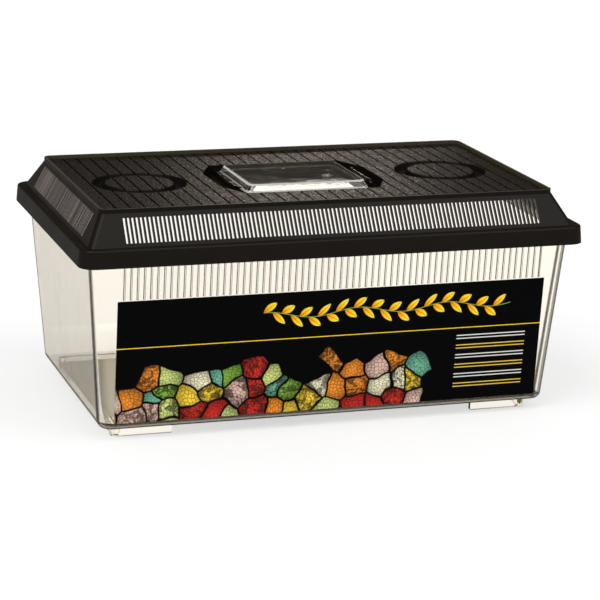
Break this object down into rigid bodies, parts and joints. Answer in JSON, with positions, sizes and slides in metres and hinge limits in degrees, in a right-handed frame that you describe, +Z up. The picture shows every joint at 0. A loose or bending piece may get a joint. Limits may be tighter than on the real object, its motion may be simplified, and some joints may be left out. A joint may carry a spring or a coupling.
{
  "type": "plastic terrarium box",
  "caption": "Clear tapered tub with a black vented lift-off lid, a clear hinged hatch in the lid and a printed front panel.",
  "frame": {"origin": "centre of the footprint, on the surface that the feet stand on", "axes": "+Z up, +X along the front to the right as seen from the front, +Y to the back"},
  "size_m": [0.46, 0.29, 0.2054],
  "materials": {
    "clear_plastic": "clear, glossy",
    "printed_film": "printed, satin",
    "black_plastic": "satin black"
  },
  "bodies": {
    "tub": {"tub": "clear_plastic", "front_panel": "printed_film"},
    "lid": {"lid": "black_plastic"},
    "hatch": {"hatch": "clear_plastic"}
  },
  "joints": [
    {"name": "lid_lift", "type": "slide", "parent": "tub", "child": "lid", "axis": [0, 0, 1], "range_m": [0, 0.12]},
    {"name": "hatch_hinge", "type": "hinge", "parent": "lid", "child": "hatch", "pos_m": [0.066, 0, 0.1989], "axis": [0, 1, 0], "range_deg": [0, 135]}
  ]
}
